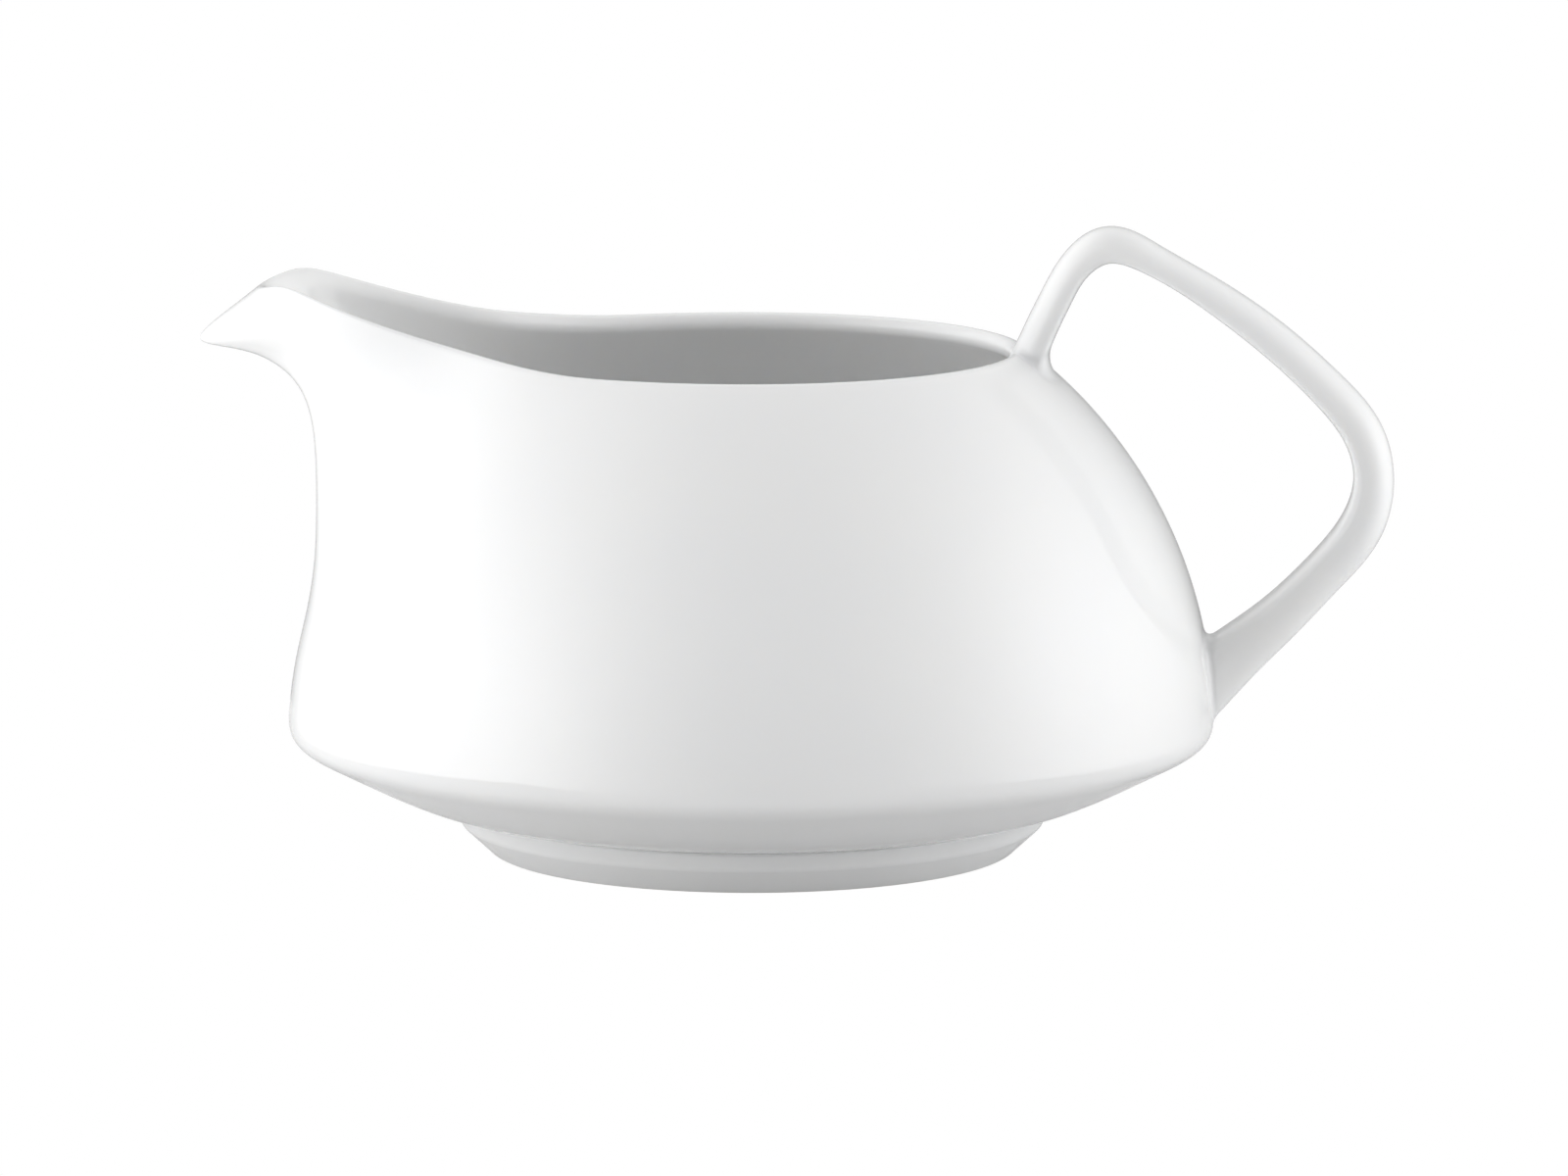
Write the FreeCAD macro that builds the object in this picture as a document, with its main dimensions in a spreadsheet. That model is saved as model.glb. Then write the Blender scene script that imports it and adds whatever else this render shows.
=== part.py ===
"""Porcelain sauce boat: a domed bowl with a beaked spout, a foot ring and a strap handle.

Millimetres. The origin is the centre of the foot on the table, +Z is up, the spout
points along -X and the handle along +X. The XZ plane is the plane of symmetry.

The bowl is one smooth wall laid over rings of control points, the foot is turned, and
the handle is a strap luted to the bowl with a fillet of slip at each end.
"""
import FreeCAD, Part
import os
import Sketcher
from math import acos, copysign, cos, exp, pi, radians, sin

from FreeCAD import Vector

doc = FreeCAD.newDocument("sauce_boat")

# ---------------------------------------------------------------- driving dimensions
DIMENSIONS = [
    # the bowl is a dome: an arc of this radius about a point on the axis
    ("dome_radius", 66.4),
    ("dome_centre_height", 18.0),
    ("belly_height", 16.4),
    ("wall", 2.8),
    ("rim_radius", 38.3),
    # the flat under the bowl, and the foot ring joined to it
    ("base_height", 6.5),
    ("base_radius", 42.0),
    ("foot_top_radius", 41.8),
    ("foot_bottom_radius", 37.6),
    ("foot_inner_radius", 34.2),
    ("foot_wall_height", 3.9),
    ("foot_inner_lean", 0.8),
    ("foot_edge_round", 1.0),
    ("foot_top_round", 0.6),
    # the spout rises above the rim, and a pointed beak stands out under its lip
    ("spout_rise", 9.8),
    ("spout_rise_start", 20.0),
    ("spout_reach", 70.0),
    ("spout_half_angle", 19.5),
    ("spout_flare_angle", 45.0),
    ("beak_half_angle", 6.5),
    # the floor inside
    ("floor_height", 9.3),
    ("floor_radius", 20.0),
    # the strap handle, and how far the slip stands out round its ends
    ("handle_width", 11.0),
    # its section: a fullness of 2 is an ellipse and more is squarer, and its widest line
    # lies inward of the middle by a share of half the thickness
    ("handle_outer_fullness", 2.3),
    ("handle_inner_fullness", 3.2),
    ("handle_widest_share", 0.4),
    ("slip_spread", 1.3),
    ("slip_end", 0.5),
]

sheet = doc.addObject("Spreadsheet::Sheet", "dimensions")
for row, (alias, value) in enumerate(DIMENSIONS, start=1):
    sheet.set("A%d" % row, alias)
    sheet.set("B%d" % row, str(value))
    sheet.setAlias("B%d" % row, alias)
doc.recompute()


def size(alias):
    return float(sheet.get(alias))


# ---------------------------------------------------------------- the bowl's wall
RING_COUNT = 64        # control points round each ring
NOSE_CROWDING = 0.4    # draws the control points towards the spout

# Control rings of the dome, from the belly up to the rim's outer edge:
# (share of the rim's angle, spout bulge, share of the rim's lift, beak reach, beak lift)
OUTER_RINGS = [
    (0.03, 0.0, 0.00, 0.0, 0.0),
    (0.15, -0.3, 0.00, 0.0, 0.0),
    (0.27, -0.8, 0.00, 0.0, 0.0),
    (0.39, 0.4, 0.00, 0.0, 0.0),
    (0.52, 3.7, 0.00, 0.0, 0.0),
    (0.65, 8.0, 0.00, 0.0, 0.0),
    (0.77, 13.3, 0.03, 0.0, 0.6),
    (0.86, 19.2, 0.10, 0.5, 1.3),
    (0.925, 24.2, 0.24, 5.4, 0.8),
    (0.955, 27.0, 0.46, 12.3, -2.4),
    (0.975, 29.0, 0.64, 10.6, -2.6),
    (0.99, 30.5, 0.84, 4.8, -1.5),
    (1.0, 31.8, 0.97, 0.0, 0.0),
]

# Control rings of the inner surface, from the rim's inner edge down to the belly
INNER_RINGS = [
    (1.0, 30.8, 0.97, 0.0, 0.0),
    (0.95, 27.8, 0.88, 0.0, 0.0),
    (0.86, 21.6, 0.70, 0.0, 0.0),
    (0.76, 12.6, 0.48, 0.0, 0.0),
    (0.64, 6.2, 0.24, 0.0, 0.0),
    (0.51, 2.8, 0.06, 0.0, 0.0),
    (0.38, 0.2, 0.00, 0.0, 0.0),
    (0.26, -0.8, 0.00, 0.0, 0.0),
    (0.14, -0.2, 0.00, 0.0, 0.0),
]


def nose_angles():
    """Angles of a ring's control points, measured from the spout and closer there."""
    angles = []
    for index in range(RING_COUNT):
        share = 2.0 * index / RING_COUNT
        if share > 1.0:
            share -= 2.0
        angles.append(pi * ((1 - NOSE_CROWDING) * share + NOSE_CROWDING * share ** 3))
    return angles


def spout_bulge(angle):
    """How much of the spout's bulge a direction has: 1 at the nose, 0 at the back."""
    narrow = exp(-abs(angle / radians(size("spout_half_angle"))) ** 2.6)
    wide = exp(-(angle / radians(size("spout_flare_angle"))) ** 2)
    return 0.72 * narrow + 0.28 * wide


def beak_bulge(angle):
    return exp(-(angle / radians(size("beak_half_angle"))) ** 2)


def rim_lift(angle):
    """Height of the rim over its level part, which grows with its reach along the spout."""
    level = size("rim_radius")
    reach = level + (size("spout_reach") - level) * spout_bulge(angle)
    peak = 0.92 * size("spout_reach")
    share = (reach * cos(angle) - size("spout_rise_start")) / (peak - size("spout_rise_start"))
    if share < 1.0:
        return size("spout_rise") * max(0.0, share) ** 1.9
    return size("spout_rise") * (1.9 - 0.9 * share)


def circle_ring(radius, height):
    return [Vector(-radius * cos(a), radius * sin(a), height) for a in nose_angles()]


def dome_ring(row, radius):
    """One control ring on a dome of this radius, drawn out into the spout and the beak."""
    share, bulge, lift, beak_reach, beak_lift = row
    rim_angle = acos(size("rim_radius") / (size("dome_radius") - size("wall") / 2))
    around = radius * cos(share * rim_angle)
    height = size("dome_centre_height") + radius * sin(share * rim_angle)
    ring = []
    for a in nose_angles():
        r = around + bulge * spout_bulge(a) + beak_reach * beak_bulge(a)
        z = height + lift * rim_lift(a) + beak_lift * beak_bulge(a)
        ring.append(Vector(-r * cos(a), r * sin(a), z))
    return ring


def outer_rings():
    """The underside from the foot's flat to the belly's soft corner, then the dome."""
    base = size("base_height")
    edge = size("base_radius")
    belly = size("belly_height")
    reach = size("dome_radius")
    underside = [
        circle_ring(edge, base),
        circle_ring(edge + 4.5, base + 0.6),
        circle_ring(edge + 9.5, base + 2.4),
        circle_ring(reach - 9.0, belly - 4.6),
        circle_ring(reach - 3.4, belly - 1.7),
        circle_ring(reach, belly),
    ]
    return underside + [dome_ring(row, reach) for row in OUTER_RINGS]


def inner_rings():
    """The inner wall from the lip down, then the dished floor."""
    belly = size("belly_height")
    floor = size("floor_height")
    middle = size("floor_radius")
    reach = size("dome_radius") - size("wall")
    dish = [
        circle_ring(reach - 0.6, belly + 1.6),
        circle_ring(reach - 6.0, belly - 1.4),
        circle_ring(reach - 16.0, floor + 2.3),
        circle_ring(middle + 14.0, floor + 0.3),
        circle_ring(middle, floor),
    ]
    return [dome_ring(row, reach) for row in INNER_RINGS] + dish


def lip_rings(outer, inner):
    """Four control rings that round the lip over from its outer to its inner edge."""
    bulge = size("wall") * 2 / 3
    over_outer = [p + (p - below).normalize() * bulge for p, below in zip(outer[-1], outer[-2])]
    over_inner = [p + (p - below).normalize() * bulge for p, below in zip(inner[0], inner[1])]
    return [outer[-1], over_outer, over_inner, inner[0]]


def ring_surface(rings):
    """A smooth face over control rings, closed round the axis and clamped at both ends."""
    poles = [[ring[i] for ring in rings] for i in range(RING_COUNT)]
    spans = len(rings) - 3
    surface = Part.BSplineSurface()
    surface.buildFromPolesMultsKnots(
        poles,
        [1] * (RING_COUNT + 1), [4] + [1] * (spans - 1) + [4],
        list(range(RING_COUNT + 1)), list(range(spans + 1)),
        True, False, 3, 3)
    return surface.toShape()


def end_disc(face, height):
    """The flat disc inside a face's level edge at this height."""
    level = [e for e in face.Edges if e.BoundBox.ZLength < 0.01 and abs(e.BoundBox.ZMin - height) < 0.01]
    return Part.Face(Part.Wire(level))


def solid_of(faces):
    skin = Part.makeShell(faces)
    skin.sewShape()
    solid = Part.makeSolid(skin.Shells[0])
    if solid.Volume < 0:
        solid.reverse()
    return solid


def bowl_solids():
    """The hollow bowl, and the same outer form filled to its brim, to trim joints with."""
    outer = outer_rings()
    inner = inner_rings()
    outer_face = ring_surface(outer)
    inner_face = ring_surface(inner)
    lip_face = ring_surface(lip_rings(outer, inner))
    base_disc = end_disc(outer_face, size("base_height"))
    floor_disc = end_disc(inner_face, size("floor_height"))
    hollow = solid_of([outer_face, lip_face, inner_face, base_disc, floor_disc])

    brim = size("dome_centre_height") + size("dome_radius") * 0.8
    lid_face = ring_surface([outer[-1]] + [circle_ring(radius, brim) for radius in (25.0, 15.0, 8.0)])
    filled = solid_of([outer_face, lid_face, base_disc, end_disc(lid_face, brim)])
    return hollow, filled


# ---------------------------------------------------------------- the foot ring
def origin_plane(body, role):
    return [f for f in body.Origin.OriginFeatures if f.Role == role][0]


def foot_ring():
    """A turned ring: its outer wall leans in towards the table and its edges are soft."""
    body = doc.addObject("PartDesign::Body", "foot_ring")
    sketch = body.newObject("Sketcher::SketchObject", "foot_section")
    sketch.AttachmentSupport = [(origin_plane(body, "XZ_Plane"), "")]
    sketch.MapMode = "FlatFace"
    inner = size("foot_inner_radius")
    corners = [
        ("dimensions.foot_inner_radius", None, inner, 0.0),
        ("dimensions.foot_bottom_radius", None, size("foot_bottom_radius"), 0.0),
        ("dimensions.foot_top_radius", "dimensions.foot_wall_height",
         size("foot_top_radius"), size("foot_wall_height")),
        ("dimensions.foot_top_radius", "dimensions.base_height",
         size("foot_top_radius"), size("base_height")),
        ("dimensions.foot_inner_radius + dimensions.foot_inner_lean", "dimensions.base_height",
         inner + size("foot_inner_lean"), size("base_height")),
    ]
    count = len(corners)
    for index, (_, _, x, z) in enumerate(corners):
        _, _, next_x, next_z = corners[(index + 1) % count]
        sketch.addGeometry(Part.LineSegment(Vector(x, z, 0), Vector(next_x, next_z, 0)), False)
    for index in range(count):
        sketch.addConstraint(Sketcher.Constraint("Coincident", index, 2, (index + 1) % count, 1))
    for index, (across, up, x, z) in enumerate(corners):
        wide = sketch.addConstraint(Sketcher.Constraint("DistanceX", -1, 1, index, 1, x))
        sketch.setExpression("Constraints[%d]" % wide, across)
        if up is None:
            sketch.addConstraint(Sketcher.Constraint("PointOnObject", index, 1, -1))
        else:
            tall = sketch.addConstraint(Sketcher.Constraint("DistanceY", -1, 1, index, 1, z))
            sketch.setExpression("Constraints[%d]" % tall, up)

    turned = body.newObject("PartDesign::Revolution", "foot_turned")
    turned.Profile = sketch
    turned.ReferenceAxis = (sketch, ["V_Axis"])
    turned.Angle = 360
    doc.recompute()
    rounded = soften(body, turned, "foot_table_edges", 0.0, 0.0, "dimensions.foot_edge_round")
    middle = size("foot_wall_height")
    rounded = soften(body, rounded, "foot_wall_edge", middle, size("foot_top_radius"),
                     "dimensions.foot_edge_round")
    rounded = soften(body, rounded, "foot_top_edge", size("base_height"), size("foot_top_radius"),
                     "dimensions.foot_top_round")
    body.Tip = rounded
    doc.recompute()
    return body


def soften(body, base, name, height, radius, expression):
    """A fillet on the turned body's circular edges at a height, of at least a radius."""
    edges = []
    for index, edge in enumerate(base.Shape.Edges, start=1):
        box = edge.BoundBox
        level = abs(box.ZMin - height) < 0.01 and abs(box.ZMax - height) < 0.01
        if level and edge.Closed and box.XMax > radius - 0.01:
            edges.append("Edge%d" % index)
    fillet = body.newObject("PartDesign::Fillet", name)
    fillet.Base = (base, edges)
    fillet.setExpression("Radius", expression)
    doc.recompute()
    return fillet


# ---------------------------------------------------------------- the handle
SECTION_COUNT = 32     # control points round the strap's section

# The strap's centreline in the XZ plane, from the rim over the top and down to the
# belly: (x, z, thickness)
HANDLE_STATIONS = [
    (38.0, 67.6, 5.6),
    (39.5, 71.2, 5.0),
    (41.1, 75.0, 4.7),
    (43.4, 79.8, 4.6),
    (46.2, 84.4, 4.65),
    (50.3, 87.1, 5.0),
    (56.6, 85.3, 4.2),
    (65.5, 80.1, 4.4),
    (74.2, 73.8, 5.0),
    (82.1, 66.6, 5.3),
    (87.0, 60.3, 5.7),
    (88.5, 53.6, 5.8),
    (86.9, 47.2, 6.3),
    (81.5, 40.2, 6.2),
    (74.8, 33.4, 6.8),
    (69.6, 28.9, 7.9),
    (65.0, 24.8, 9.2),
    (61.0, 20.9, 9.9),
]

# The slip at each end, from inside the bowl's wall to where it runs out on the strap
UPPER_SLIP = [(40.4, 69.0, 7.2), (41.7, 74.6, 4.9)]
LOWER_SLIP = [(64.2, 25.4, 10.6), (69.4, 29.3, 8.3)]


def strap_section(centre, across, thickness, width):
    """A closed curve across the strap, fuller in its corners on the loop's inside."""
    half_t = thickness / 2
    widest = -half_t * size("handle_widest_share")
    poles = []
    for index in range(SECTION_COUNT):
        turn_t = cos(2 * pi * index / SECTION_COUNT)
        turn_w = sin(2 * pi * index / SECTION_COUNT)
        if turn_t > 0:
            fullness = size("handle_outer_fullness")
            t = widest + (half_t - widest) * turn_t ** (2 / fullness)
        else:
            fullness = size("handle_inner_fullness")
            t = widest - (half_t + widest) * (-turn_t) ** (2 / fullness)
        w = copysign(abs(turn_w) ** (2 / fullness), turn_w) * width / 2
        poles.append(centre + across * t + Vector(0, w, 0))
    curve = Part.BSplineCurve()
    knots = list(range(SECTION_COUNT + 1))
    curve.buildFromPolesMultsKnots(poles, [1] * len(knots), knots, True, 3)
    return Part.Wire(curve.toShape())


def loft_along(stations, spreads, ruled):
    """A solid through sections across a centreline, each wider by twice its spread."""
    points = [Vector(x, 0, z) for x, z, _ in stations]
    sections = []
    for index, (_, _, thickness) in enumerate(stations):
        before = points[max(index - 1, 0)]
        after = points[min(index + 1, len(points) - 1)]
        along = (after - before).normalize()
        across = Vector(-along.z, 0, along.x)
        width = size("handle_width") + 2 * spreads[index]
        sections.append(strap_section(points[index], across, thickness, width))
    return Part.makeLoft(sections, True, ruled)


def largest(shape):
    return max(shape.Solids, key=lambda solid: solid.Volume)


def handle_parts(hollow, filled):
    """The strap and its two fillets of slip, each trimmed to what it is joined to."""
    blank = loft_along(HANDLE_STATIONS, [0.0] * len(HANDLE_STATIONS), False)
    strap = largest(blank.cut([filled, hollow]))
    fillets = []
    for stations in (UPPER_SLIP, LOWER_SLIP):
        slip = loft_along(stations, [size("slip_spread"), size("slip_end")], True)
        fillets.append(largest(slip.cut([filled, hollow, blank])))
    return [strap] + fillets


# ---------------------------------------------------------------- the sub-parts
def feature(label, shape):
    part = doc.addObject("Part::Feature", label)
    part.Label = label
    part.Shape = shape
    part.Placement = FreeCAD.Placement()
    return part


hollow_bowl, filled_bowl = bowl_solids()
strap_solid, upper_slip, lower_slip = handle_parts(hollow_bowl, filled_bowl)
sub_parts = [
    feature("bowl_shell", hollow_bowl),
    foot_ring(),
    feature("handle", strap_solid),
    feature("upper_slip_fillet", upper_slip),
    feature("lower_slip_fillet", lower_slip),
]
doc.recompute()

for item in doc.Objects:
    if "Invalid" in item.State or "Error" in item.State:
        raise RuntimeError("%s failed to recompute" % item.Label)
for part in sub_parts:
    shape = part.Shape
    if shape.isNull() or not shape.isValid() or len(shape.Solids) != 1:
        raise RuntimeError("%s is not one valid solid" % part.Label)
    print("%-18s %8.2f cm3" % (part.Label, shape.Volume / 1000))

os.makedirs("parts", exist_ok=True)
for part in sub_parts:
    part.Shape.exportStep("parts/%s.step" % part.Label)
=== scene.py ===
"""Porcelain sauce boat: the looks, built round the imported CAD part.

Metres, in the part's frame: the origin is the centre of the foot on the table, +Z is
up, the spout points along -X and the handle along +X. The bowl, the foot, the strap and
the slip at its two ends are each a piece of their own.
"""

from math import acos, cos, pi, radians, sin, tan

import bmesh
import bpy
import numpy as np
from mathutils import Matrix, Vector
from mathutils.bvhtree import BVHTree


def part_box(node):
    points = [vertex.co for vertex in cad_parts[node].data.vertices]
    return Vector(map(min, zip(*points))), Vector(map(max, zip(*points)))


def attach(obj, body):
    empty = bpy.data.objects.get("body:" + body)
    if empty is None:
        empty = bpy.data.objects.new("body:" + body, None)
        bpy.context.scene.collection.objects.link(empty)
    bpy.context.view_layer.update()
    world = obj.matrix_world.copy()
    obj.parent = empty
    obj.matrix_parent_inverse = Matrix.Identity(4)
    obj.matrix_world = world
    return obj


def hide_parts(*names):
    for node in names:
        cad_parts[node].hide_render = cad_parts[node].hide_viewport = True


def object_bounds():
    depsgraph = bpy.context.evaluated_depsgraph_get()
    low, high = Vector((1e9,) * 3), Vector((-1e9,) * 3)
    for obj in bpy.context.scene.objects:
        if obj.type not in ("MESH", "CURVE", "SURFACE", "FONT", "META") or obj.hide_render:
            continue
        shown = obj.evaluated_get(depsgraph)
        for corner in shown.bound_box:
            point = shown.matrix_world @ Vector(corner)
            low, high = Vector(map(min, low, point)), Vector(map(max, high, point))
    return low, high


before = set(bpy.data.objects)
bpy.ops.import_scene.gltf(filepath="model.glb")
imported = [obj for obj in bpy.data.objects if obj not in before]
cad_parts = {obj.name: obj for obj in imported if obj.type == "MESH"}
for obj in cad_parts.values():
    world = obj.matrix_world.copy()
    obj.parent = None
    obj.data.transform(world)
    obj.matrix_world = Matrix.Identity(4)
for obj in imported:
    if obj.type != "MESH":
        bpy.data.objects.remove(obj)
cad_low, cad_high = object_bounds()

# ---------------------------------------------------------------- sizes
foot_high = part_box("foot_ring")[1]
bowl_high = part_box("bowl_shell")[1]
handle_low, handle_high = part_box("handle")

MM = foot_high.z / 6.5              # a millimetre of the drawing, as it was packed
BASE_HEIGHT = foot_high.z
FOOT_RADIUS = foot_high.x
BASE_RADIUS = FOOT_RADIUS + 0.2 * MM
DOME_RADIUS = bowl_high.y + 0.2 * MM
DOME_CENTRE_HEIGHT = 18.0 * MM
BELLY_HEIGHT = 16.4 * MM
WALL = 2.8 * MM
RIM_RADIUS = 38.3 * MM
SPOUT_RISE = 9.8 * MM
SPOUT_RISE_START = 20.0 * MM
SPOUT_REACH = 70.0 * MM
PEAK_SHARE = 0.92                   # where along the spout its rim is highest
RISE_POWER = 1.9                    # how the rim curves up to its peak
FALL_SLOPE = 0.9                    # and how it falls beyond
SPOUT_HALF_ANGLE = radians(19.5)    # the spout's bulge is a narrow part and a wide flare
SPOUT_FLARE_ANGLE = radians(45.0)
NARROW_SHARE = 0.72
FLARE_SHARE = 0.28
NARROW_POWER = 2.6
BEAK_HALF_ANGLE = radians(6.5)
FLOOR_HEIGHT = 9.3 * MM
FLOOR_RADIUS = 20.0 * MM
HANDLE_WIDTH = handle_high.y - handle_low.y
OUTER_FULLNESS = 2.3                # how square the strap's section is: 2 is an ellipse
INNER_FULLNESS = 3.2
WIDEST_SHARE = 0.4                  # how far inward the section's widest line lies
TANGENT_STEP = 0.2 * MM             # how far either way the strap's direction is measured
STRAP_SUNK = 0.4 * MM               # how far the strap's ends run into the bowl
SLIP_SUNK = 0.5 * MM                # how far the slip's hidden row lies inside both

RING_COUNT = 64                     # control points round each ring of the bowl
NOSE_CROWDING = 0.4                 # draws the control points towards the spout
ROUND_STEPS = 6                     # mesh columns for each control point round
OUTER_ROWS = 110                    # mesh rows of the bowl's outside, lip and inside
LIP_ROWS = 15
INNER_ROWS = 90
FOOT_COLUMNS = 256
SECTION_COLUMNS = 72                # mesh columns round the strap, and rows along it
STRAP_ROWS = 200
SLIP_STEPS = 10
HALVINGS = 26                       # steps of the search for where the strap meets the bowl

GLAZE_TINTS = [(0.868, 0.870, 0.868), (0.852, 0.857, 0.862)]
CLAY_TINTS = [(0.80, 0.785, 0.755), (0.74, 0.72, 0.685)]

TABLE_HALF = 0.13                   # the small table that bounces light under the foot
TABLE_DROP = 0.1 * MM
TABLE_TONE = 0.7
GLOW_HALF = 0.06                    # the square over its middle that glows, and how much
GLOW_STRENGTH = 0.11
TENT_GLOW = 0.25                    # what the light tent gives off everywhere
TENT_LOBES = [                      # and where it gives more: (direction, sharpness, strength)
    ((-1.0, 0.0, 0.0), 2.0, 1.95),
    ((-0.87, -0.5, 0.0), 8.0, 1.5),
    ((1.0, 0.0, 0.0), 2.0, 1.2),
    ((1.0, 0.0, 0.2), 8.0, 1.4),
    ((0.7, 0.0, 0.7), 8.0, 0.2),
    ((0.0, 0.7, 0.7), 4.0, 0.65),
]
FLOOR_HALF = 18.0
FLOOR_DROP = 0.2 * MM
BACKDROP_RADIUS = 20.0
# The floor's white band is a painted pool of light: the floor glows pure white round the piece and
# behind it, and fades to grey away from it.
WHITE_AHEAD = 0.12                  # how far ahead of the piece the floor's white band starts,
WHITE_WIDENING = 0.8                # how it widens behind, how far it is pure white and
WHITE_REACH = 0.16                  # where the floor has turned grey
GREY_REACH = 0.42
GREY_TONE = 0.62

RIM_ANGLE = acos(RIM_RADIUS / (DOME_RADIUS - WALL / 2))

# Control rings of the dome, from the belly up to the rim's outer edge:
# (share of the rim's angle, spout bulge, share of the rim's lift, beak reach, beak lift),
# the bulge, reach and lift in millimetres
OUTER_RINGS = [
    (0.03, 0.0, 0.00, 0.0, 0.0),
    (0.15, -0.3, 0.00, 0.0, 0.0),
    (0.27, -0.8, 0.00, 0.0, 0.0),
    (0.39, 0.4, 0.00, 0.0, 0.0),
    (0.52, 3.7, 0.00, 0.0, 0.0),
    (0.65, 8.0, 0.00, 0.0, 0.0),
    (0.77, 13.3, 0.03, 0.0, 0.6),
    (0.86, 19.2, 0.10, 0.5, 1.3),
    (0.925, 24.2, 0.24, 5.4, 0.8),
    (0.955, 27.0, 0.46, 12.3, -2.4),
    (0.975, 29.0, 0.64, 10.6, -2.6),
    (0.99, 30.5, 0.84, 4.8, -1.5),
    (1.0, 31.8, 0.97, 0.0, 0.0),
]

# Control rings of the inner surface, from the rim's inner edge down to the belly
INNER_RINGS = [
    (1.0, 30.8, 0.97, 0.0, 0.0),
    (0.95, 27.8, 0.88, 0.0, 0.0),
    (0.86, 21.6, 0.70, 0.0, 0.0),
    (0.76, 12.6, 0.48, 0.0, 0.0),
    (0.64, 6.2, 0.24, 0.0, 0.0),
    (0.51, 2.8, 0.06, 0.0, 0.0),
    (0.38, 0.2, 0.00, 0.0, 0.0),
    (0.26, -0.8, 0.00, 0.0, 0.0),
    (0.14, -0.2, 0.00, 0.0, 0.0),
]

# The strap's centreline in the XZ plane, from the rim over the top and down to the
# belly: (x, z, thickness), in millimetres
HANDLE_STATIONS = [
    (38.0, 67.6, 5.6),
    (39.5, 71.2, 5.0),
    (41.1, 75.0, 4.7),
    (43.4, 79.8, 4.6),
    (46.2, 84.4, 4.65),
    (50.3, 87.1, 5.0),
    (56.6, 85.3, 4.2),
    (65.5, 80.1, 4.4),
    (74.2, 73.8, 5.0),
    (82.1, 66.6, 5.3),
    (87.0, 60.3, 5.7),
    (88.5, 53.6, 5.8),
    (86.9, 47.2, 6.3),
    (81.5, 40.2, 6.2),
    (74.8, 33.4, 6.8),
    (69.6, 28.9, 7.9),
    (65.0, 24.8, 9.2),
    (61.0, 20.9, 9.9),
]


# ---------------------------------------------------------------- smooth surfaces
def nose_angles():
    """Angles of a ring's control points, measured from the spout and closer there."""
    share = 2.0 * np.arange(RING_COUNT) / RING_COUNT
    share[share > 1.0] -= 2.0
    return pi * ((1 - NOSE_CROWDING) * share + NOSE_CROWDING * share ** 3)


ANGLES = nose_angles()
SPOUT_BULGE = (NARROW_SHARE * np.exp(-np.abs(ANGLES / SPOUT_HALF_ANGLE) ** NARROW_POWER)
               + FLARE_SHARE * np.exp(-(ANGLES / SPOUT_FLARE_ANGLE) ** 2))
BEAK_BULGE = np.exp(-(ANGLES / BEAK_HALF_ANGLE) ** 2)


def rim_lift():
    """Height of the rim over its level part, which grows with its reach along the spout."""
    reach = RIM_RADIUS + (SPOUT_REACH - RIM_RADIUS) * SPOUT_BULGE
    peak = PEAK_SHARE * SPOUT_REACH
    share = (reach * np.cos(ANGLES) - SPOUT_RISE_START) / (peak - SPOUT_RISE_START)
    rising = np.maximum(0.0, share) ** RISE_POWER
    return SPOUT_RISE * np.where(share < 1.0, rising, 1.0 + FALL_SLOPE - FALL_SLOPE * share)


def ring_at(radius, height):
    """A ring of control points; radius and height are numbers, or one value a point."""
    heights = np.broadcast_to(height, ANGLES.shape)
    return np.stack([-radius * np.cos(ANGLES), radius * np.sin(ANGLES), heights], axis=1)


def dome_ring(row, radius):
    """One control ring on a dome of this radius, drawn out into the spout and the beak."""
    share, bulge, lift, beak_reach, beak_lift = row
    around = radius * cos(share * RIM_ANGLE)
    height = DOME_CENTRE_HEIGHT + radius * sin(share * RIM_ANGLE)
    reach = around + MM * (bulge * SPOUT_BULGE + beak_reach * BEAK_BULGE)
    return ring_at(reach, height + lift * rim_lift() + MM * beak_lift * BEAK_BULGE)


def outer_rings():
    """The underside from the foot's flat to the belly's soft corner, then the dome."""
    underside = [
        ring_at(BASE_RADIUS, BASE_HEIGHT),
        ring_at(BASE_RADIUS + 4.5 * MM, BASE_HEIGHT + 0.6 * MM),
        ring_at(BASE_RADIUS + 9.5 * MM, BASE_HEIGHT + 2.4 * MM),
        ring_at(DOME_RADIUS - 9.0 * MM, BELLY_HEIGHT - 4.6 * MM),
        ring_at(DOME_RADIUS - 3.4 * MM, BELLY_HEIGHT - 1.7 * MM),
        ring_at(DOME_RADIUS, BELLY_HEIGHT),
    ]
    return underside + [dome_ring(row, DOME_RADIUS) for row in OUTER_RINGS]


def inner_rings():
    """The inner wall from the lip down, then the dished floor."""
    reach = DOME_RADIUS - WALL
    dish = [
        ring_at(reach - 0.6 * MM, BELLY_HEIGHT + 1.6 * MM),
        ring_at(reach - 6.0 * MM, BELLY_HEIGHT - 1.4 * MM),
        ring_at(reach - 16.0 * MM, FLOOR_HEIGHT + 2.3 * MM),
        ring_at(FLOOR_RADIUS + 14.0 * MM, FLOOR_HEIGHT + 0.3 * MM),
        ring_at(FLOOR_RADIUS, FLOOR_HEIGHT),
    ]
    return [dome_ring(row, reach) for row in INNER_RINGS] + dish


def stepped_over(ring, below):
    """A ring carried on from the one below it, by two thirds of the wall."""
    step = ring - below
    return ring + step / np.linalg.norm(step, axis=1)[:, None] * WALL * 2 / 3


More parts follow.
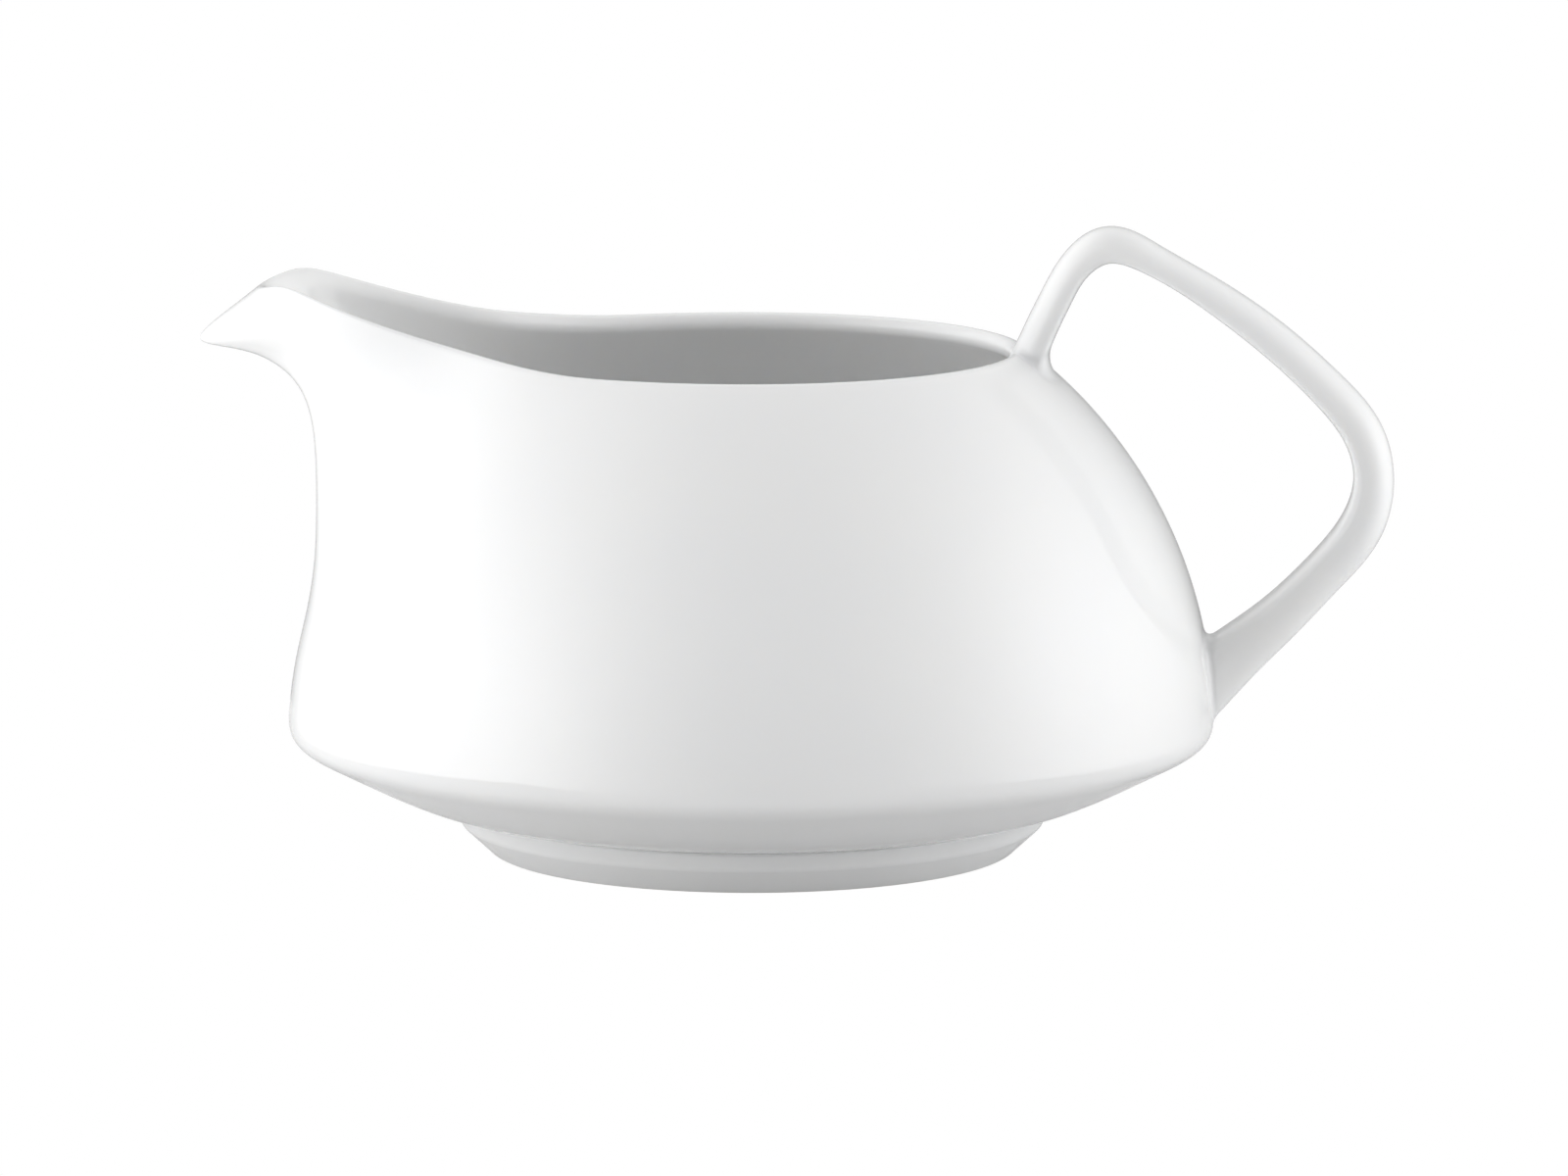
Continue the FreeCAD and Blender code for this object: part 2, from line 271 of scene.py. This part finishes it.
def clamped_weights(count, places):
    """Each control ring's weight in a cubic clamped at both ends, at places from 0 to 1."""
    spans = count - 3
    knots = np.concatenate(([0.0] * 3, np.arange(spans + 1.0), [float(spans)] * 3))
    at = np.minimum(np.asarray(places) * spans, spans - 1e-9)[:, None]
    weights = ((knots[:-1] <= at) & (at < knots[1:])).astype(float)
    for degree in (1, 2, 3):
        rise = knots[degree:-1] - knots[:-degree - 1]
        fall = knots[degree + 1:] - knots[1:-degree]
        up = (at - knots[:-degree - 1]) / np.where(rise > 0, rise, 1.0) * (rise > 0)
        down = (knots[degree + 1:] - at) / np.where(fall > 0, fall, 1.0) * (fall > 0)
        weights = up * weights[:, :-1] + down * weights[:, 1:]
    return weights


def round_weights():
    """Each control point's weight in a closed cubic, at every mesh column."""
    weights = np.zeros((RING_COUNT * ROUND_STEPS, RING_COUNT))
    for column in range(RING_COUNT * ROUND_STEPS):
        span, step = divmod(column, ROUND_STEPS)
        t = step / ROUND_STEPS
        parts = (
            (1 - t) ** 3,
            3 * t ** 3 - 6 * t ** 2 + 4,
            -3 * t ** 3 + 3 * t ** 2 + 3 * t + 1,
            t ** 3,
        )
        for offset, part in enumerate(parts):
            weights[column, (span + offset - 1) % RING_COUNT] += part / 6
    return weights


ROUND_WEIGHTS = round_weights()


def surface_rows(rings, row_count):
    """Rows of mesh points on the smooth face over control rings."""
    along = clamped_weights(len(rings), np.linspace(0.0, 1.0, row_count))
    return np.einsum("rk,cj,kjx->rcx", along, ROUND_WEIGHTS, np.array(rings))


# ---------------------------------------------------------------- meshes
def ring_faces(rows, columns, closed=False):
    """Quads between rows of points, each row a closed ring."""
    faces = []
    for row in range(rows if closed else rows - 1):
        below = row * columns
        above = (row + 1) % rows * columns
        for column in range(columns):
            beside = (column + 1) % columns
            faces.append((below + column, below + beside, above + beside, above + column))
    return faces


def fan_faces(centre, start, columns):
    return [(centre, start + c, start + (c + 1) % columns) for c in range(columns)]


def capped_tube(rows):
    """Points and faces of rows of rings closed by a fan at each end."""
    count, columns, _ = rows.shape
    points = rows.reshape(-1, 3)
    ends = np.array([rows[0].mean(axis=0), rows[-1].mean(axis=0)])
    faces = ring_faces(count, columns)
    faces += fan_faces(len(points), 0, columns)
    faces += fan_faces(len(points) + 1, (count - 1) * columns, columns)
    return np.concatenate([points, ends]), faces


def closed_bmesh(points, faces):
    """A bmesh whose faces look outwards."""
    bm = bmesh.new()
    verts = [bm.verts.new(point) for point in points]
    for face in faces:
        bm.faces.new([verts[i] for i in face])
    bmesh.ops.recalc_face_normals(bm, faces=bm.faces)
    return bm


def make_piece(name, points, faces, nodes, slot, material):
    bm = closed_bmesh(points, faces)
    mesh = bpy.data.meshes.new(name)
    bm.to_mesh(mesh)
    bm.free()
    mesh.shade_smooth()
    mesh.set_sharp_from_angle(angle=radians(40))
    mesh.materials.append(material)
    piece = bpy.data.objects.new(name, mesh)
    bpy.context.scene.collection.objects.link(piece)
    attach(piece, "root")
    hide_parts(*nodes)


# ---------------------------------------------------------------- the bowl
def disc_rows(ring, shares):
    """Rings drawn in from a level ring towards its centre."""
    centre = ring.mean(axis=0)
    return np.array([centre + share * (ring - centre) for share in shares])


def bowl_surfaces():
    """Mesh rows of the outside, the lip and the inside, each starting where one ends."""
    outer = outer_rings()
    inner = inner_rings()
    lip = [outer[-1], stepped_over(outer[-1], outer[-2]), stepped_over(inner[0], inner[1]), inner[0]]
    return surface_rows(outer, OUTER_ROWS), surface_rows(lip, LIP_ROWS), surface_rows(inner, INNER_ROWS)


def bowl_rows(outside, lip, inside):
    base = disc_rows(outside[0], (0.12, 0.35, 0.6, 0.8, 0.93))
    floor = disc_rows(inside[-1], (0.85, 0.6, 0.35, 0.12))
    return np.concatenate([base, outside, lip[1:], inside[1:], floor])


def brimful_tree(outside, lip):
    """The outside of the bowl as if it were filled to its crest, to end the strap on."""
    crest = lip[:len(lip) // 2 + 1]
    points, faces = capped_tube(np.concatenate([outside, crest[1:]]))
    bm = closed_bmesh(points, faces)
    tree = BVHTree.FromBMesh(bm)
    bm.free()
    return tree


# ---------------------------------------------------------------- the foot ring
def rounded_outline(corners, steps=8):
    """A closed outline of (x, z, rounding) corners, each rounded by an arc."""
    outline = []
    count = len(corners)
    for index, (x, z, rounding) in enumerate(corners):
        corner = Vector((x, z))
        to_last = (Vector(corners[index - 1][:2]) - corner).normalized()
        to_next = (Vector(corners[(index + 1) % count][:2]) - corner).normalized()
        if rounding == 0.0:
            outline.append(corner)
            continue
        half = to_last.angle(to_next) / 2
        centre = corner + (to_last + to_next).normalized() * rounding / sin(half)
        start = corner + to_last * rounding / tan(half) - centre
        end = corner + to_next * rounding / tan(half) - centre
        for step in range(steps + 1):
            spoke = start.lerp(end, step / steps).normalized() * rounding
            outline.append(centre + spoke)
    return outline


def foot_rows():
    """The turned ring: its wall leans in towards the table and its edges are soft."""
    inner = FOOT_RADIUS - 7.6 * MM
    outline = rounded_outline([
        (inner, 0.0, 1.0 * MM),
        (FOOT_RADIUS - 4.2 * MM, 0.0, 1.0 * MM),
        (FOOT_RADIUS, 3.9 * MM, 1.0 * MM),
        (FOOT_RADIUS, BASE_HEIGHT, 0.6 * MM),
        (inner + 0.8 * MM, BASE_HEIGHT, 0.0),
    ])
    turns = np.linspace(0.0, 2 * pi, FOOT_COLUMNS, endpoint=False)
    return np.array([[(r * cos(a), r * sin(a), z) for a in turns] for r, z in outline])


# ---------------------------------------------------------------- the strap handle
def smooth_through(knots, values, places):
    """A natural cubic through rows of values at knots, read at places."""
    gaps = np.diff(knots)
    slopes = np.diff(values, axis=0) / gaps[:, None]
    count = len(knots)
    system = np.eye(count)
    bends = np.zeros_like(values)
    for i in range(1, count - 1):
        system[i, i - 1:i + 2] = gaps[i - 1], 2 * (gaps[i - 1] + gaps[i]), gaps[i]
        bends[i] = 6 * (slopes[i] - slopes[i - 1])
    bends = np.linalg.solve(system, bends)
    span = np.clip(np.searchsorted(knots, places, side="right") - 1, 0, count - 2)
    gap = gaps[span][:, None]
    after = (places - knots[span])[:, None]
    before = gap - after
    return ((bends[span] * before ** 3 + bends[span + 1] * after ** 3) / (6 * gap)
            + (values[span] / gap - bends[span] * gap / 6) * before
            + (values[span + 1] / gap - bends[span + 1] * gap / 6) * after)


STATIONS = np.array(HANDLE_STATIONS) * MM
STATION_GAPS = np.linalg.norm(np.diff(STATIONS[:, :2], axis=0), axis=1)
STATION_KNOTS = np.concatenate(([0.0], np.cumsum(STATION_GAPS)))
STRAP_LENGTH = STATION_KNOTS[-1]


def strap_section():
    """Columns round the strap, as (turn across the thickness, turn across the width)."""
    turns = np.linspace(0.0, 2 * pi, SECTION_COLUMNS, endpoint=False)
    return np.stack([np.cos(turns), np.sin(turns)], axis=1)


SECTION = strap_section()


def strap_points(columns, places):
    """Points on the strap at these columns of its section and places along it. It is
    widest nearer the loop's inside, and fuller in its corners there."""
    line = smooth_through(STATION_KNOTS, STATIONS, places)
    ahead = smooth_through(STATION_KNOTS, STATIONS, places + TANGENT_STEP)[:, :2]
    behind = smooth_through(STATION_KNOTS, STATIONS, places - TANGENT_STEP)[:, :2]
    along = (ahead - behind) / np.linalg.norm(ahead - behind, axis=1)[:, None]
    across = np.stack([-along[:, 1], along[:, 0]], axis=1)
    turn_t, turn_w = columns.T
    fullness = np.where(turn_t > 0.0, OUTER_FULLNESS, INNER_FULLNESS)
    share_t = np.sign(turn_t) * np.abs(turn_t) ** (2 / fullness)
    share_w = np.sign(turn_w) * np.abs(turn_w) ** (2 / fullness)
    half_t = line[:, 2] / 2
    widest = -WIDEST_SHARE * half_t
    t = widest + share_t * np.where(turn_t > 0.0, half_t - widest, half_t + widest)
    centre = line[:, :2] + across * t[:, None]
    return np.stack([centre[:, 0], share_w * HANDLE_WIDTH / 2, centre[:, 1]], axis=1)


def is_inside(tree, point):
    near, normal, _, _ = tree.find_nearest(point)
    return (Vector(point) - near).dot(normal) < 0.0


def landing_places(tree, start, end):
    """Where each of the strap's columns meets the bowl, from a place in it to one clear of it."""
    deep = np.full(len(SECTION), start)
    clear = np.full(len(SECTION), end)
    for _ in range(HALVINGS):
        middle = (deep + clear) / 2
        points = strap_points(SECTION, middle)
        inside = np.array([is_inside(tree, point) for point in points])
        deep = np.where(inside, middle, deep)
        clear = np.where(inside, clear, middle)
    return (deep + clear) / 2


def strap_rows(upper, lower):
    """The strap from just under the bowl's surface at its one end to the other."""
    rows = []
    for share in np.linspace(0.0, 1.0, STRAP_ROWS):
        places = (upper - STRAP_SUNK) * (1 - share) + (lower + STRAP_SUNK) * share
        rows.append(strap_points(SECTION, places))
    return np.array(rows)


def section_normal(corner_t, corner_w, place):
    """The way the strap's surface faces, at a place along it."""
    near_places = np.array([place - TANGENT_STEP, place + TANGENT_STEP])
    ends = smooth_through(STATION_KNOTS, STATIONS, near_places)
    along = Vector((ends[1, 0] - ends[0, 0], 0.0, ends[1, 1] - ends[0, 1])).normalized()
    across = Vector((-along.z, 0.0, along.x))
    return (across * corner_t + Vector((0.0, 1.0, 0.0)) * corner_w).normalized()


def slip_rows(bowl_tree, landing, towards, reach_inner, reach_outer, reach_side):
    """Slip round one end of the strap: it leaves the strap and meets the bowl tangent to
    each, and a last row inside both closes it."""
    corner_t, corner_w = SECTION.T
    reach = (reach_side + (reach_inner - reach_side) * np.maximum(0.0, -corner_t)
             + (reach_outer - reach_side) * np.maximum(0.0, corner_t))
    meets = strap_points(SECTION, landing)
    leaves = strap_points(SECTION, landing + towards * reach)
    middle = strap_points(SECTION * 0.0, landing)
    rows = np.zeros((SLIP_STEPS + 2, len(SECTION), 3))
    for index in range(len(SECTION)):
        corner = Vector(meets[index])
        near, normal, _, _ = bowl_tree.find_nearest(corner)
        away = section_normal(corner_t[index], corner_w[index], landing[index])
        away = (away - normal * away.dot(normal)).normalized()
        lands = bowl_tree.find_nearest(corner + away * reach[index])[0]
        start = Vector(leaves[index])
        for step in range(SLIP_STEPS + 1):
            t = step / SLIP_STEPS
            rows[step, index] = start * (1 - t) ** 2 + corner * 2 * t * (1 - t) + lands * t ** 2
        inward = (Vector(middle[index]) - corner).normalized()
        rows[SLIP_STEPS + 1, index] = corner + inward * SLIP_SUNK - normal * SLIP_SUNK
    return rows


# ---------------------------------------------------------------- materials
def noise(tree, place, size, detail=2.0):
    node = tree.nodes.new("ShaderNodeTexNoise")
    node.inputs["Scale"].default_value = 1.0 / size
    node.inputs["Detail"].default_value = detail
    tree.links.new(place, node.inputs["Vector"])
    return node.outputs["Fac"]


def ranged(tree, value, low, high):
    """The middle of a noise's values, spread from low to high."""
    node = tree.nodes.new("ShaderNodeMapRange")
    node.inputs["From Min"].default_value = 0.3
    node.inputs["From Max"].default_value = 0.7
    node.inputs["To Min"].default_value = low
    node.inputs["To Max"].default_value = high
    tree.links.new(value, node.inputs["Value"])
    return node.outputs["Result"]


def mixed_colour(tree, factor, first, second):
    """A colour between two, each a tint or a socket."""
    node = tree.nodes.new("ShaderNodeMix")
    node.data_type = "RGBA"
    tree.links.new(factor, node.inputs["Factor"])
    for socket, colour in ((node.inputs[6], first), (node.inputs[7], second)):
        if isinstance(colour, tuple):
            socket.default_value = (*colour, 1.0)
        else:
            tree.links.new(colour, socket)
    return node.outputs[2]


def mixed_value(tree, factor, first, second):
    """A value between a socket's and a number."""
    node = tree.nodes.new("ShaderNodeMix")
    tree.links.new(factor, node.inputs["Factor"])
    tree.links.new(first, node.inputs[2])
    node.inputs[3].default_value = second
    return node.outputs[0]


def bumped(tree, height, distance, strength, under=None):
    """A surface made uneven by a height, over any unevenness under it."""
    node = tree.nodes.new("ShaderNodeBump")
    node.inputs["Distance"].default_value = distance
    node.inputs["Strength"].default_value = strength
    tree.links.new(height, node.inputs["Height"])
    if under is not None:
        tree.links.new(under, node.inputs["Normal"])
    return node.outputs["Normal"]


def glazed(tree, place):
    """The glaze's colour, roughness and surface: even but for faint clouds and waves."""
    cloud = ranged(tree, noise(tree, place, 28 * MM), 0.0, 1.0)
    colour = mixed_colour(tree, cloud, *GLAZE_TINTS)
    roughness = ranged(tree, noise(tree, place, 9 * MM, 3.0), 0.045, 0.085)
    waves = bumped(tree, noise(tree, place, 34 * MM), 0.35 * MM, 0.25)
    surface = bumped(tree, noise(tree, place, 2.4 * MM, 2.0), 0.008 * MM, 0.25, waves)
    return colour, roughness, surface


def bared(tree, place, bare_below, colour, roughness, surface):
    """The same three, but bare matt clay below a height."""
    height = tree.nodes.new("ShaderNodeSeparateXYZ")
    tree.links.new(place, height.inputs[0])
    edge = tree.nodes.new("ShaderNodeMapRange")
    edge.interpolation_type = "SMOOTHSTEP"
    edge.inputs["From Min"].default_value = bare_below + 0.1 * MM
    edge.inputs["From Max"].default_value = bare_below
    tree.links.new(height.outputs["Z"], edge.inputs["Value"])
    bare = edge.outputs["Result"]
    cloud = ranged(tree, noise(tree, place, 0.5 * MM, 4.0), 0.0, 1.0)
    clay = mixed_colour(tree, cloud, *CLAY_TINTS)
    grain = noise(tree, place, 0.35 * MM, 4.0)
    return (mixed_colour(tree, bare, colour, clay),
            mixed_value(tree, bare, roughness, 0.75),
            bumped(tree, grain, 0.02 * MM, 0.4, surface))


def porcelain(name, bare_below=None):
    """White porcelain under a clear gloss glaze. Below the height given, it is bare."""
    material = bpy.data.materials.new(name)
    material.use_nodes = True
    tree = material.node_tree
    shader = tree.nodes["Principled BSDF"]
    shader.inputs["IOR"].default_value = 1.52
    shader.inputs["Subsurface Weight"].default_value = 0.12
    shader.inputs["Subsurface Radius"].default_value = (1.0, 0.92, 0.8)
    shader.inputs["Subsurface Scale"].default_value = 2.5 * MM
    place = tree.nodes.new("ShaderNodeTexCoord").outputs["Object"]
    looks = glazed(tree, place)
    if bare_below is not None:
        looks = bared(tree, place, bare_below, *looks)
    for name_of_input, look in zip(("Base Color", "Roughness", "Normal"), looks):
        tree.links.new(look, shader.inputs[name_of_input])
    return material


# ---------------------------------------------------------------- the stage
def aim(thing, target):
    thing.rotation_euler = (target - thing.location).to_track_quat("-Z", "Y").to_euler()


def add_camera(centre):
    """At the photograph's angle, looking at a point just under the middle of the object."""
    target = centre + Vector((-1.66, 0.0, -7.5)) * MM
    elevation = radians(9.0)
    azimuth = radians(3.5)
    distance = 1.5
    field_width = 0.224
    back = Vector((sin(azimuth) * cos(elevation), -cos(azimuth) * cos(elevation), sin(elevation)))
    camera = bpy.data.objects.new("camera", bpy.data.cameras.new("camera"))
    camera.data.sensor_width = 36.0
    camera.data.lens = camera.data.sensor_width * distance / field_width
    camera.data.clip_start = 0.05
    camera.data.clip_end = 60.0
    camera.location = target + back * distance
    aim(camera, target)
    bpy.context.scene.collection.objects.link(camera)
    bpy.context.scene.camera = camera


def calculated(tree, operation, first, *others):
    """The output of a maths node in this tree; the others are numbers or sockets."""
    node = tree.nodes.new("ShaderNodeMath")
    node.operation = operation
    tree.links.new(first, node.inputs[0])
    for socket, value in zip(node.inputs[1:], others):
        if isinstance(value, float):
            socket.default_value = value
        else:
            tree.links.new(value, socket)
    return node.outputs[0]


def tent_light(everywhere, lobes):
    """A light tent that glows a little everywhere. Each lobe of (direction, sharpness,
    strength) adds most in its own direction and falls off smoothly, so nothing in it has
    an edge."""
    world = bpy.data.worlds.new("light_tent")
    bpy.context.scene.world = world
    world.use_nodes = True
    tree = world.node_tree
    nodes = tree.nodes
    link = tree.links.new
    towards_sky = nodes.new("ShaderNodeTexCoord").outputs["Generated"]
    total = None
    for direction, sharpness, strength in lobes:
        facing = nodes.new("ShaderNodeVectorMath")
        facing.operation = "DOT_PRODUCT"
        facing.inputs[1].default_value = Vector(direction).normalized()
        link(towards_sky, facing.inputs[0])
        glow = calculated(tree, "MAXIMUM", facing.outputs["Value"], 0.0)
        glow = calculated(tree, "MULTIPLY", calculated(tree, "POWER", glow, sharpness), strength)
        total = glow if total is None else calculated(tree, "ADD", total, glow)
    link(calculated(tree, "ADD", total, everywhere), nodes["Background"].inputs["Color"])


def plain_material(name, tone, glow):
    """A dull material of one tone, which can also glow."""
    material = bpy.data.materials.new(name)
    material.use_nodes = True
    shader = material.node_tree.nodes["Principled BSDF"]
    shader.inputs["Base Color"].default_value = (tone, tone, tone, 1.0)
    shader.inputs["Roughness"].default_value = 0.9
    shader.inputs["Specular IOR Level"].default_value = 0.0
    shader.inputs["Emission Color"].default_value = (1.0, 1.0, 1.0, 1.0)
    shader.inputs["Emission Strength"].default_value = glow
    return material


def add_plane(name, half, height, material):
    """A level square of the stage, as wide as twice its half."""
    mesh = bpy.data.meshes.new(name)
    sides = [(-half, -half), (half, -half), (half, half), (-half, half)]
    corners = [(x, y, height) for x, y in sides]
    mesh.from_pydata(corners, [], [(0, 1, 2, 3)])
    mesh.materials.append(material)
    plane = bpy.data.objects.new(name, mesh)
    bpy.context.scene.collection.objects.link(plane)
    return plane


def seen_only_by_camera(thing):
    thing.visible_diffuse = False
    thing.visible_glossy = False
    thing.visible_transmission = False
    thing.visible_shadow = False


def add_dome(name, radius, material):
    """A sphere round the whole stage."""
    bm = bmesh.new()
    bmesh.ops.create_icosphere(bm, subdivisions=4, radius=radius)
    mesh = bpy.data.meshes.new(name)
    bm.to_mesh(mesh)
    bm.free()
    mesh.materials.append(material)
    dome = bpy.data.objects.new(name, mesh)
    bpy.context.scene.collection.objects.link(dome)
    return dome


def painted_light_floor_tones(material):
    """A painted pool of light on the glowing floor: pure white round the piece and in a band that
    widens behind it, fading to a pale grey beyond, so that the white piece stands out when it is
    seen from its other sides."""
    tree = material.node_tree
    nodes = tree.nodes
    link = tree.links.new
    place = nodes.new("ShaderNodeSeparateXYZ")
    link(nodes.new("ShaderNodeTexCoord").outputs["Object"], place.inputs[0])
    widening = calculated(tree, "MULTIPLY_ADD", place.outputs["Y"], WHITE_WIDENING, 1.0)
    widening = calculated(tree, "MAXIMUM", widening, 1.0)
    beside = calculated(tree, "DIVIDE", place.outputs["X"], widening)
    ahead = calculated(tree, "ADD", place.outputs["Y"], WHITE_AHEAD)
    ahead = calculated(tree, "MINIMUM", ahead, 0.0)
    outside = nodes.new("ShaderNodeCombineXYZ")
    link(beside, outside.inputs["X"])
    link(ahead, outside.inputs["Y"])
    distance = nodes.new("ShaderNodeVectorMath")
    distance.operation = "LENGTH"
    link(outside.outputs[0], distance.inputs[0])
    tone = nodes.new("ShaderNodeMapRange")
    tone.interpolation_type = "SMOOTHSTEP"
    tone.inputs["From Min"].default_value = WHITE_REACH
    tone.inputs["From Max"].default_value = GREY_REACH
    tone.inputs["To Min"].default_value = 1.0
    tone.inputs["To Max"].default_value = GREY_TONE
    link(distance.outputs["Value"], tone.inputs["Value"])
    link(tone.outputs["Result"], nodes["Principled BSDF"].inputs["Emission Strength"])


def add_stage():
    """A pale floor and backdrop that only the camera sees, the floor glowing with a painted pool of
    light round the piece, and a small table that only the light sees, which bounces the light of
    the tent and glows a little under the foot."""
    table = add_plane("table", TABLE_HALF, -TABLE_DROP, plain_material("table_pale", TABLE_TONE, 0.0))
    glow = add_plane("glow", GLOW_HALF, 0.0, plain_material("table_glow", TABLE_TONE, GLOW_STRENGTH))
    table.visible_camera = False
    glow.visible_camera = False
    # the floor glows: a painted pool of light, pure white round the piece and grey beyond
    white = plain_material("floor_painted_light", 0.0, 1.0)
    painted_light_floor_tones(white)
    seen_only_by_camera(add_plane("floor", FLOOR_HALF, -FLOOR_DROP, white))
    pale = plain_material("backdrop_pale", 0.0, GREY_TONE)
    seen_only_by_camera(add_dome("backdrop", BACKDROP_RADIUS, pale))
    tent_light(TENT_GLOW, TENT_LOBES)
    bpy.context.scene.view_settings.view_transform = "Standard"


# ---------------------------------------------------------------- the object
def build():
    glaze = porcelain("porcelain_glaze")
    foot_glaze = porcelain("foot_glaze", bare_below=0.12 * MM)

    outside, lip, inside = bowl_surfaces()
    bowl_points, bowl_faces = capped_tube(bowl_rows(outside, lip, inside))
    make_piece("bowl", bowl_points, bowl_faces, ["bowl_shell"], "glazed_porcelain", glaze)
    bowl_bmesh = closed_bmesh(bowl_points, bowl_faces)
    bowl_tree = BVHTree.FromBMesh(bowl_bmesh)
    bowl_bmesh.free()

    ring = foot_rows()
    ring_points = ring.reshape(-1, 3)
    make_piece("foot", ring_points, ring_faces(ring.shape[0], ring.shape[1], closed=True),
               ["foot_ring"], "foot_porcelain", foot_glaze)

    brimful = brimful_tree(outside, lip)
    upper = landing_places(brimful, 0.0, STATION_KNOTS[4])
    lower = landing_places(brimful, STRAP_LENGTH, STATION_KNOTS[13])
    strap_mesh = capped_tube(strap_rows(upper, lower))
    make_piece("strap", *strap_mesh, ["handle"], "glazed_porcelain", glaze)

    # each slip's reach is inside the loop, outside it and at the strap's sides
    slips = [
        ("upper_slip", upper, 1, (3.4, 0.9, 1.3), "upper_slip_fillet"),
        ("lower_slip", lower, -1, (1.9, 0.9, 1.3), "lower_slip_fillet"),
    ]
    for name, landing, towards, reaches, node in slips:
        rows = slip_rows(bowl_tree, landing, towards, *[reach * MM for reach in reaches])
        faces = ring_faces(rows.shape[0], rows.shape[1], closed=True)
        make_piece(name, rows.reshape(-1, 3), faces, [node], "glazed_porcelain", glaze)


build()
middle = (cad_low + cad_high) / 2
add_stage()
add_camera(middle)
